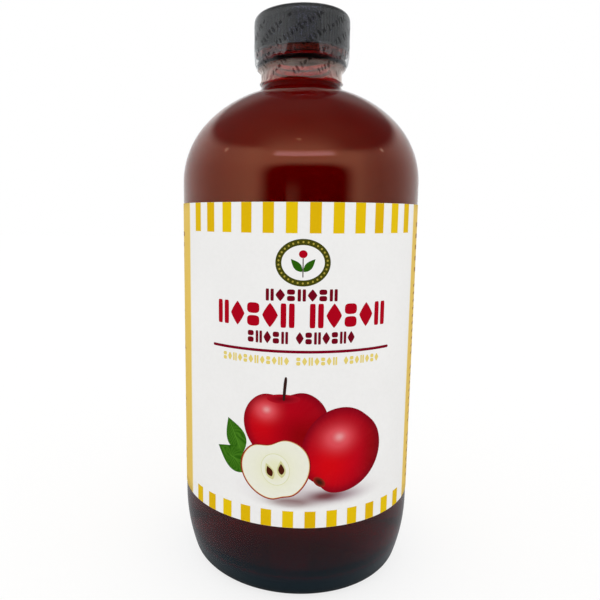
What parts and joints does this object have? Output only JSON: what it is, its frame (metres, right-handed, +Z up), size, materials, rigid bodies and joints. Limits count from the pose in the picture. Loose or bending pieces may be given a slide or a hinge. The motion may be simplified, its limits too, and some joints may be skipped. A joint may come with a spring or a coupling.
{
  "type": "fruit tonic bottle",
  "caption": "Round amber glass bottle of dark fruit tonic with a black screw cap, clear shrink band and striped wrap label.",
  "frame": {"origin": "centre of the foot ring, on the surface the bottle stands on", "axes": "+Z up along the bottle's axis; -Y towards the middle of the label's front panel; +X to the label's right"},
  "size_m": [0.075, 0.0748, 0.174],
  "materials": {
    "amber_glass": "glossy",
    "drink": "glossy",
    "cap_plastic": "satin",
    "clear_film": "glossy",
    "label_paper": "satin"
  },
  "bodies": {
    "root": {"bottle": "amber_glass", "tonic": "drink", "cap": "cap_plastic", "seal_band": "clear_film", "label": "label_paper"}
  },
  "joints": []
}
